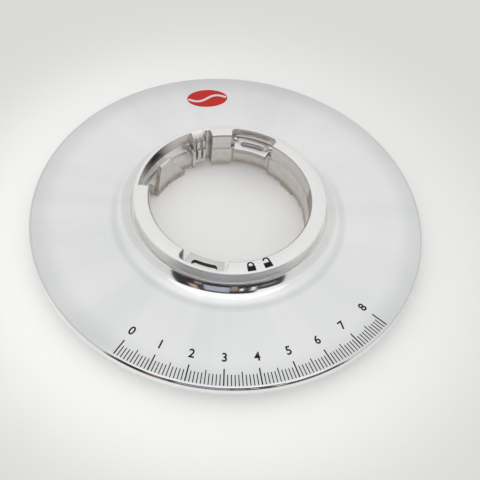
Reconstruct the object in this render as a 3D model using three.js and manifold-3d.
// Grind-setting dial with a hopper collar, from a commercial coffee grinder.
//
// Two rings, one above the other, make the collar that takes the hopper's neck. The polished dial
// turns on the lower ring and is held down by the upper ring's lip. A wave spring and a slip
// washer under its hub give it friction, and a pin ends its turn at both ends of the scale.
//
// Frame: millimetres, +Z up along the bore, origin on the surface that the feet stand on.
// -Y is the front, where the middle of the scale is. Angles are degrees from +X, anticlockwise.

import * as THREE from 'three';
import { mergeVertices } from 'three/addons/utils/BufferGeometryUtils.js';
import Module from 'manifold-3d';

const wasm = await Module();
wasm.setup();

// ---- Driving dimensions -------------------------------------------------------------------

// Overall
const discDiameter = 190;
const boreDiameter = 77;
const overallHeight = 23;
const gap = 0.3; // left between separate pieces that meet

// Collar rings
const collarWall = 7.4; // bore to the satin band
const bandHeight = 7; // satin band above the dial
const lipWidth = 1.9; // part of the upper ring that overhangs the dial's hub
const spigotDepth = 1.8; // part of the upper ring that sits inside the hub
const edgeChamfer = 0.5;
const footHeight = 2.5;
const flangeThickness = 1.8; // bottom flange of the lower ring
const flangeWidth = 6.5;

// Dial
const hubWall = 3;
const rimHeight = 4.5;
const rimRound = 0.8;
const rimStep = 0.35; // how far the lower half of the rim's wall is set in
const discThickness = 2.5;
const discDish = 0.4; // how much higher the rim's top is than the foot of the flare
const flareOverhang = 0.4; // how far the hub's top edge stands out past the satin band
const flareWidth = 8.7; // from the flare's top edge to its foot, along the radius
const flareDrop = 4.7; // from the flare's top edge to its foot, along Z
const flareSlope = 62; // steepness at its top edge
const rimWall = 2.5;

// Friction under the dial
const washerThickness = 0.6;
const springThickness = 0.5;
const springWave = 0.3; // height of a wave above the spring's lowest line
const springWaves = 4;

// Travel stop
const scaleMiddle = -90; // angle of the middle of the scale
const dialTurn = 40; // each way from the middle of the scale
const stopPinDiameter = 3;
const stopRibWidth = 3;

// Catch plates, in two opposite pockets
const pocketStart = 48.3;
const pocketEnd = 80.1;
const pocketOuterWall = 1.9;
const catchDepth = 5.6; // collar's top to the plate's top
const catchThickness = 2.7;
const catchReach = 3.5; // how far the plate stands into the bore
const catchEar = 2.4; // angle that the plate's outer part is longer by, at each end
const catchSlotWidth = 3.2;
const catchSlotAngle = 13;
const catchSlotRadius = 39.2;
const catchLedge = 3.6; // width of the cast seat under the plate
const catchPinDiameter = 1.6;
const catchPinHead = 2.8;
const catchPinLength = 6;
const catchPinHeadHeight = 1;
const catchPinFromEnd = 3; // angle from a pocket's end to the pin

// Hopper entry: recess, ramp and key slot in the upper ring
const recessStart = 107.8;
const recessEnd = 166.3;
const rampStart = 99.6;
const rampDrop = 4;
const rampWidth = 4;
const keySlotAngle = 97;
const keySlotWidth = 3.4;
const keySlotDepth = 4.9;
const grooveAngles = [102.2, 106.4];
const grooveWidth = 1.2;
const grooveDepth = 2.7;
const grooveBottom = 8; // above the feet's plane

// Cast shapes inside the lower ring
const notchStart = 109.5; // the ring is cut down here, below the upper ring's recess
const notchDepth = 4.2; // below the lower ring's top
const notchSetback = 1.8; // bore wall below the notch
const hollowStart = 149;
const hollowSetback = 4; // the same wall beyond the drive lug
const lugRise = 4.6; // the drive lug's top above the lower ring's top
const lugThickness = 2;
const lugTopArc = [131, 141.6];
const lugFootArc = [116.5, 147.3];
const reliefEnd = 108; // undercut between the key slot and the notch
const reliefTop = 6; // above the feet's plane
const reliefDepth = 2.8;
const stopBlockChamfer = 3; // lower corner of the wall block beside the back pocket
const footWidth = 3.6;
const footArcs = [
  [24, 36],
  [-8, 1],
  [-66, -56],
  [-112, -102],
  [-162, -152],
  [134, 147],
  [123, 131.5],
  [117, 121.5],
];

// Screws that join the rings, from below
const screwDiameter = 2.5;
const screwHeadDiameter = 4.5;
const screwHeadHeight = 2;
const screwDriveWidth = 2;
const screwDriveDepth = 1.2;
const screwCover = 2; // metal left between a screw's tip and the collar's top
const screwAngles = { front: -90, right: 0, back: 90, left: 180 };

// ---- Derived sizes ------------------------------------------------------------------------

const boreRadius = boreDiameter / 2;
const collarRadius = boreRadius + collarWall;
const spigotRadius = collarRadius - lipWidth;
const lipBottom = overallHeight - bandHeight;
const upperRingBottom = lipBottom - spigotDepth;
const lowerRingTop = upperRingBottom - gap;
const notchBottom = lowerRingTop - notchDepth;
const lugTop = lowerRingTop + lugRise;
const flangeTop = footHeight + flangeThickness;
const springBottom = flangeTop + gap;
const springTop = springBottom + springWave + springThickness;
const washerBottom = springTop + gap;
const washerTop = washerBottom + washerThickness;

const discRadius = discDiameter / 2;
const hubInner = spigotRadius + gap;
const hubOuter = hubInner + hubWall;
const hubTop = lipBottom - gap;
const hubBottom = washerTop + gap;
const flareTopRadius = collarRadius + flareOverhang;
const flareFootRadius = flareTopRadius + flareWidth;
const flareFoot = hubTop - flareDrop;
const rimTop = flareFoot + discDish;
const rimBottom = rimTop - rimHeight;
const discUnderside = flareFoot - discThickness;

const pocketRadius = collarRadius - pocketOuterWall;
const catchTop = overallHeight - catchDepth;
const catchBottom = catchTop - catchThickness;
const windowRadius = pocketRadius - catchLedge;
const catchPinRadius = (windowRadius + pocketRadius) / 2 - gap;
const screwCircle = (boreRadius + spigotRadius) / 2;

const facets = 72;
const facetAngle = 360 / facets;
const smallSides = 16; // sides of pins, screws and their holes
const inside = boreRadius - 12; // a radius well inside everything that a cut has to reach
const past = 1; // how far a cut runs past a face
const overlap = 0.3; // how far joined solids run into each other

// ---- Materials ----------------------------------------------------------------------------

function metal(color, roughness) {
  return new THREE.MeshStandardMaterial({ color, roughness, metalness: 1 });
}

const polished = metal(0xe9eaec, 0.08);
const machined = metal(0xd6d5d3, 0.32);
const cast = metal(0xb9b2ad, 0.5);
const stainless = metal(0xc4c6c8, 0.25);
const springSteel = metal(0x8f9296, 0.3);
const plastic = new THREE.MeshStandardMaterial({ color: 0xe8e4d8, roughness: 0.6, metalness: 0 });

// ---- Solids -------------------------------------------------------------------------------

function radians(degrees) {
  return THREE.MathUtils.degToRad(degrees);
}

// The angle that a length along a circle takes up.
function angleOver(length, radius) {
  return THREE.MathUtils.radToDeg(length / radius);
}

// Signed volume of a closed mesh: negative when its faces point inwards.
function signedVolume(geometry) {
  const position = geometry.getAttribute('position');
  const index = geometry.index.array;
  const corners = [new THREE.Vector3(), new THREE.Vector3(), new THREE.Vector3()];
  let volume = 0;
  for (let i = 0; i < index.length; i += 3) {
    corners.forEach((corner, k) => corner.fromBufferAttribute(position, index[i + k]));
    volume += corners[0].dot(corners[1].cross(corners[2])) / 6;
  }
  return volume;
}

// A three.js geometry as a solid that can be joined and cut.
function solid(geometry) {
  geometry.deleteAttribute('normal');
  geometry.deleteAttribute('uv');
  const merged = mergeVertices(geometry, 1e-4);
  const index = Array.from(merged.index.array);
  if (signedVolume(merged) < 0) {
    index.reverse();
  }
  const mesh = new wasm.Mesh({
    numProp: 3,
    vertProperties: Float32Array.from(merged.getAttribute('position').array),
    triVerts: Uint32Array.from(index),
  });
  return new wasm.Manifold(mesh);
}

function geometryOf(body) {
  const mesh = body.getMesh();
  const geometry = new THREE.BufferGeometry();
  geometry.setAttribute('position', new THREE.Float32BufferAttribute(mesh.vertProperties, 3));
  geometry.setIndex(Array.from(mesh.triVerts));
  geometry.computeVertexNormals();
  return geometry;
}

// A ring turned from a closed profile of [radius, z] points.
function turned(profile) {
  const points = profile.map(([r, z]) => new THREE.Vector2(r, z));
  points.push(points[0].clone());
  return solid(new THREE.LatheGeometry(points, facets).rotateX(Math.PI / 2));
}

function rod(radius, bottom, top, sides = facets) {
  const geometry = new THREE.CylinderGeometry(radius, radius, top - bottom, sides);
  return solid(geometry.rotateX(Math.PI / 2).translate(0, 0, (bottom + top) / 2));
}

// A rod that stands at a radius and an angle.
function rodAt(radius, angle, rodRadius, bottom, top, sides = smallSides) {
  const x = radius * Math.cos(radians(angle));
  const y = radius * Math.sin(radians(angle));
  return rod(rodRadius, bottom, top, sides).translate([x, y, 0]);
}

function extruded(shape, bottom, top, curveSegments) {
  const settings = { depth: top - bottom, bevelEnabled: false, curveSegments };
  return solid(new THREE.ExtrudeGeometry(shape, settings).translate(0, 0, bottom));
}

function segmentsFor(span) {
  return Math.max(2, Math.ceil(span / facetAngle));
}

// Part of a ring between two radii, two heights and two angles.
function sector(inner, outer, bottom, top, start, end) {
  const shape = new THREE.Shape();
  shape.absarc(0, 0, outer, radians(start), radians(end), false);
  shape.absarc(0, 0, inner, radians(end), radians(start), true);
  shape.closePath();
  return extruded(shape, bottom, top, segmentsFor(end - start));
}

// A prism that runs along the radius at an angle. Its outline is [along the circle, z].
function radialPrism(angle, outline, inner, outer) {
  const shape = new THREE.Shape(outline.map(([t, z]) => new THREE.Vector2(t, z)));
  const geometry = new THREE.ExtrudeGeometry(shape, { depth: outer - inner, bevelEnabled: false });
  const radial = new THREE.Vector3(Math.cos(radians(angle)), Math.sin(radians(angle)), 0);
  const up = new THREE.Vector3(0, 0, 1);
  const along = new THREE.Vector3().crossVectors(up, radial);
  const place = new THREE.Matrix4().makeBasis(along, up, radial);
  place.setPosition(radial.clone().multiplyScalar(inner));
  return solid(geometry.applyMatrix4(place));
}

function radialBox(angle, width, inner, outer, bottom, top) {
  const half = width / 2;
  const outline = [[-half, bottom], [half, bottom], [half, top], [-half, top]];
  return radialPrism(angle, outline, inner, outer);
}

function joined(parts) {
  return parts.reduce((all, part) => all.add(part));
}

// The key slot and the two fine grooves run down the bore wall of both rings.
function hopperKeyway() {
  const slotOuter = boreRadius + keySlotDepth;
  const roundCentre = slotOuter - keySlotWidth / 2;
  const low = footHeight - past;
  const high = overallHeight + past;
  const grooveTop = overallHeight - rampDrop;
  const grooves = grooveAngles.map((angle) =>
    radialBox(angle, grooveWidth, inside, boreRadius + grooveDepth, grooveBottom, grooveTop));
  return joined([
    radialBox(keySlotAngle, keySlotWidth, inside, roundCentre, low, high),
    rodAt(roundCentre, keySlotAngle, keySlotWidth / 2, low, high),
    ...grooves,
  ]);
}

// ---- Pieces -------------------------------------------------------------------------------

// Upper ring: satin band with a lip over the dial's hub, and every cut that guides the hopper.
function bayonetRing() {
  const ring = turned([
    [boreRadius, upperRingBottom],
    [spigotRadius, upperRingBottom],
    [spigotRadius, lipBottom],
    [collarRadius, lipBottom],
    [collarRadius, overallHeight - edgeChamfer],
    [collarRadius - edgeChamfer, overallHeight],
    [boreRadius + edgeChamfer, overallHeight],
    [boreRadius, overallHeight - edgeChamfer],
  ]);
  const low = upperRingBottom - past;
  const high = overallHeight + past;
  const rampRadius = pocketRadius - rampWidth;
  const ramp = turned([
    [inside, low],
    [rampRadius, low],
    [rampRadius, overallHeight - rampDrop],
    [pocketRadius, overallHeight],
    [pocketRadius, high],
    [inside, high],
  ]);
  const rampCut = ramp.intersect(
    sector(inside - past, collarRadius, low, high, rampStart, recessStart + past));
  const cuts = [
    sector(inside, pocketRadius, low, high, recessStart, recessEnd),
    rampCut,
    hopperKeyway(),
  ];
  for (const turn of [0, 180]) {
    cuts.push(sector(inside, pocketRadius, low, high, pocketStart + turn, pocketEnd + turn));
  }
  for (const angle of Object.values(screwAngles)) {
    const holeTop = overallHeight - screwCover + gap;
    cuts.push(rodAt(screwCircle, angle, screwDiameter / 2 + gap, low, holeTop));
  }
  return ring.subtract(joined(cuts));
}

// Below the recess the lower ring is cut down, and its bore wall is set back. Beside the key slot
// it is undercut.
function castHollows() {
  const low = footHeight - past;
  const high = lowerRingTop + past;
  return [
    sector(inside, collarRadius, notchBottom, high, notchStart, recessEnd),
    sector(inside, boreRadius + notchSetback, low, high, notchStart, hollowStart),
    sector(inside, boreRadius + hollowSetback, low, high, hollowStart, recessEnd),
    sector(inside, boreRadius + reliefDepth, low, reliefTop, keySlotAngle, reliefEnd),
  ];
}

// The drive lug stands up from the lower ring into the recess. Its two sides slope.
function driveLug() {
  const middle = (lugFootArc[0] + lugFootArc[1]) / 2;
  const across = (angle) => boreRadius * Math.sin(radians(angle - middle));
  const wedge = radialPrism(middle, [
    [across(lugFootArc[0]), footHeight],
    [across(lugFootArc[1]), footHeight],
    [across(lugTopArc[1]), lugTop],
    [across(lugTopArc[0]), lugTop],
  ], inside, collarRadius);
  return sector(boreRadius, boreRadius + lugThickness, footHeight, lugTop, ...lugFootArc).intersect(wedge);
}

// Under each catch plate the lower ring rises a little to carry it.
function catchSeat(turn) {
  const clearance = angleOver(gap, pocketRadius);
  const start = pocketStart + turn + clearance;
  const end = pocketEnd + turn - clearance;
  const seatTop = catchBottom - gap;
  return sector(boreRadius, pocketRadius - gap, lowerRingTop - past, seatTop, start, end);
}

function carrierRing() {
  const ring = turned([
    [boreRadius, footHeight],
    [spigotRadius + flangeWidth, footHeight],
    [spigotRadius + flangeWidth, flangeTop],
    [spigotRadius, flangeTop],
    [spigotRadius, lowerRingTop],
    [boreRadius + edgeChamfer, lowerRingTop],
    [boreRadius, lowerRingTop - edgeChamfer],
  ]);
  const seats = [0, 180].map((turn) => catchSeat(turn));
  const wallCuts = [...castHollows(), hopperKeyway()];
  for (const turn of [0, 180]) {
    const start = pocketStart + turn + catchEar;
    const end = pocketEnd + turn - catchEar;
    wallCuts.push(sector(inside, windowRadius, footHeight - past, overallHeight, start, end));
  }
  wallCuts.push(radialPrism(pocketEnd - catchEar, [
    [-past, footHeight - past],
    [stopBlockChamfer, footHeight - past],
    [-past, footHeight + stopBlockChamfer + past],
  ], inside, windowRadius));
  const feet = footArcs.map(([start, end]) =>
    sector(boreRadius, boreRadius + footWidth, 0, footHeight + past, start, end));
  const holes = [];
  for (const angle of [...catchPinAngles(0), ...catchPinAngles(180)]) {
    const holeBottom = catchTop - catchPinLength - gap;
    holes.push(rodAt(catchPinRadius, angle, catchPinDiameter / 2 + gap, holeBottom, overallHeight));
  }
  const headTop = footHeight + screwHeadHeight + gap;
  for (const angle of Object.values(screwAngles)) {
    holes.push(rodAt(screwCircle, angle, screwDiameter / 2 + gap, 0, overallHeight));
    holes.push(rodAt(screwCircle, angle, screwHeadDiameter / 2 + gap, 0, headTop));
  }
  holes.push(rodAt(stopPinCircle(), scaleMiddle, stopPinDiameter / 2 + gap, 0, overallHeight));
  const wall = ring.add(joined(seats)).subtract(joined(wallCuts));
  return wall.add(joined([...feet, driveLug()])).subtract(joined(holes));
}

function stopPinCircle() {
  return hubOuter + gap + stopPinDiameter / 2;
}

// The flare's curve from the hub's top edge down to the flange.
function flarePoints(count) {
  const start = new THREE.Vector2(flareTopRadius, hubTop);
  const end = new THREE.Vector2(flareFootRadius, flareFoot);
  const bend = new THREE.Vector2(flareTopRadius + flareDrop / Math.tan(radians(flareSlope)), flareFoot);
  return new THREE.QuadraticBezierCurve(start, bend, end).getPoints(count);
}

// Flared hub, flat flange and rounded rim, with a short hub tube and two stop ribs underneath.
function scaleDisc() {
  const flare = flarePoints(6).map((point) => [point.x, point.y]);
  const rimCorner = [];
  for (const angle of [90, 45, 0]) {
    const r = discRadius - rimRound + rimRound * Math.cos(radians(angle));
    const z = rimTop - rimRound + rimRound * Math.sin(radians(angle));
    rimCorner.push([r, z]);
  }
  const stepTop = rimTop - rimHeight / 2;
  const stepBottom = stepTop - 2 * rimStep;
  const disc = turned([
    [hubInner, hubBottom],
    [hubOuter, hubBottom],
    [hubOuter, discUnderside],
    [discRadius - rimWall, discUnderside],
    [discRadius - rimWall, rimBottom],
    [discRadius - rimRound, rimBottom],
    [discRadius - rimStep, rimBottom + rimRound],
    [discRadius - rimStep, stepBottom],
    [discRadius, stepTop],
    ...rimCorner.reverse(),
    ...flare.reverse(),
    [hubInner, hubTop],
  ]);
  const pinHalfAngle = angleOver(stopPinDiameter / 2 + gap, stopPinCircle());
  const ribAngle = angleOver(stopRibWidth, stopPinCircle());
  const ribs = [-1, 1].map((side) => {
    const middle = scaleMiddle + side * (dialTurn + pinHalfAngle + ribAngle / 2);
    const ribTop = discUnderside + overlap;
    return sector(hubOuter - past, stopPinCircle() + past, hubBottom, ribTop,
      middle - ribAngle / 2, middle + ribAngle / 2);
  });
  return disc.add(joined(ribs));
}

function waveSpring() {
  const inner = hubInner;
  const outer = hubOuter - gap;
  const positions = [];
  const index = [];
  for (let i = 0; i < facets; i += 1) {
    const angle = (2 * Math.PI * i) / facets;
    const low = springBottom + (springWave * (1 + Math.cos(springWaves * angle))) / 2;
    const high = low + springThickness;
    for (const [r, z] of [[inner, low], [outer, low], [outer, high], [inner, high]]) {
      positions.push(r * Math.cos(angle), r * Math.sin(angle), z);
    }
    const here = 4 * i;
    const next = 4 * ((i + 1) % facets);
    for (let side = 0; side < 4; side += 1) {
      const other = (side + 1) % 4;
      index.push(here + side, here + other, next + other, here + side, next + other, next + side);
    }
  }
  const geometry = new THREE.BufferGeometry();
  geometry.setAttribute('position', new THREE.Float32BufferAttribute(positions, 3));
  geometry.setIndex(index);
  return solid(geometry);
}

function slipWasher() {
  return turned([
    [hubInner, washerBottom],
    [hubOuter - gap, washerBottom],
    [hubOuter - gap, washerTop],
    [hubInner, washerTop],
  ]);
}

function catchPinAngles(turn) {
  return [pocketStart + turn + catchPinFromEnd, pocketEnd + turn - catchPinFromEnd];
}

// Flat slotted plate for the pocket at the back: ears at both ends, and a kidney slot through it.
function catchPlate() {
  const clearance = angleOver(gap, pocketRadius);
  const middle = (pocketStart + pocketEnd) / 2;
  const earStart = pocketStart + clearance;
  const earEnd = pocketEnd - clearance;
  const ears = sector(windowRadius - gap, pocketRadius - gap, catchBottom, catchTop, earStart, earEnd);
  const tongue = sector(boreRadius - catchReach, pocketRadius - 2 * gap, catchBottom, catchTop,
    pocketStart + catchEar, pocketEnd - catchEar);
  const low = catchBottom - past;
  const high = catchTop + past;
  const slotInner = catchSlotRadius - catchSlotWidth / 2;
  const slotOuter = catchSlotRadius + catchSlotWidth / 2;
  const slotStart = middle - catchSlotAngle / 2;
  const slotEnd = middle + catchSlotAngle / 2;
  const cuts = [
    sector(slotInner, slotOuter, low, high, slotStart, slotEnd),
    rodAt(catchSlotRadius, slotStart, catchSlotWidth / 2, low, high),
    rodAt(catchSlotRadius, slotEnd, catchSlotWidth / 2, low, high),
  ];
  for (const angle of catchPinAngles(0)) {
    cuts.push(rodAt(catchPinRadius, angle, catchPinDiameter / 2 + gap, low, high));
  }
  return ears.add(tongue).subtract(joined(cuts));
}

// Round-headed pin. Its own origin is under its head.
function catchPin() {
  const headRadius = catchPinHead / 2;
  const head = solid(new THREE.SphereGeometry(headRadius, smallSides, smallSides / 2));
  const flattened = head.scale([1, 1, catchPinHeadHeight / headRadius]);
  const cap = flattened.intersect(rod(headRadius + past, 0, catchPinHeadHeight + past, smallSides));
  return rod(catchPinDiameter / 2, -catchPinLength, overlap, smallSides).add(cap);
}

// Socket-head screw that stands head down. Its own origin is the bottom of its head.
function ringScrew() {
  const length = overallHeight - screwCover - footHeight;
  const shank = rod(screwDiameter / 2, overlap, length, smallSides);
  const head = rod(screwHeadDiameter / 2, 0, screwHeadHeight, smallSides);
  const drive = rod(screwDriveWidth / Math.sqrt(3), -past, screwDriveDepth, 6);
  return head.add(shank).subtract(drive);
}

function stopPin() {
  return rod(stopPinDiameter / 2, footHeight, discUnderside - gap, smallSides);
}

// ---- Assembly -----------------------------------------------------------------------------

const group = new THREE.Group();

function place(name, body, material, { radius = 0, angle = 0, z = 0, turn = 0 } = {}) {
  const mesh = new THREE.Mesh(geometryOf(body), material);
  mesh.name = name;
  mesh.position.set(radius * Math.cos(radians(angle)), radius * Math.sin(radians(angle)), z);
  mesh.rotation.z = radians(turn);
  group.add(mesh);
}

place('bayonet_ring', bayonetRing(), machined);
place('carrier_ring', carrierRing(), cast);
place('scale_disc', scaleDisc(), polished);
place('wave_spring', waveSpring(), springSteel);
place('slip_washer', slipWasher(), plastic);
place('travel_stop_pin', stopPin(), stainless, { radius: stopPinCircle(), angle: scaleMiddle });

for (const [side, turn] of [['back', 0], ['front', 180]]) {
  place(`${side}_catch_plate`, catchPlate(), stainless, { turn });
  catchPinAngles(turn).forEach((angle, i) => {
    const spot = { radius: catchPinRadius, angle, z: catchTop + gap };
    place(`${side}_catch_pin_${i + 1}`, catchPin(), stainless, spot);
  });
}

for (const [side, angle] of Object.entries(screwAngles)) {
  place(`ring_screw_${side}`, ringScrew(), stainless, { radius: screwCircle, angle, z: footHeight });
}

export default group;
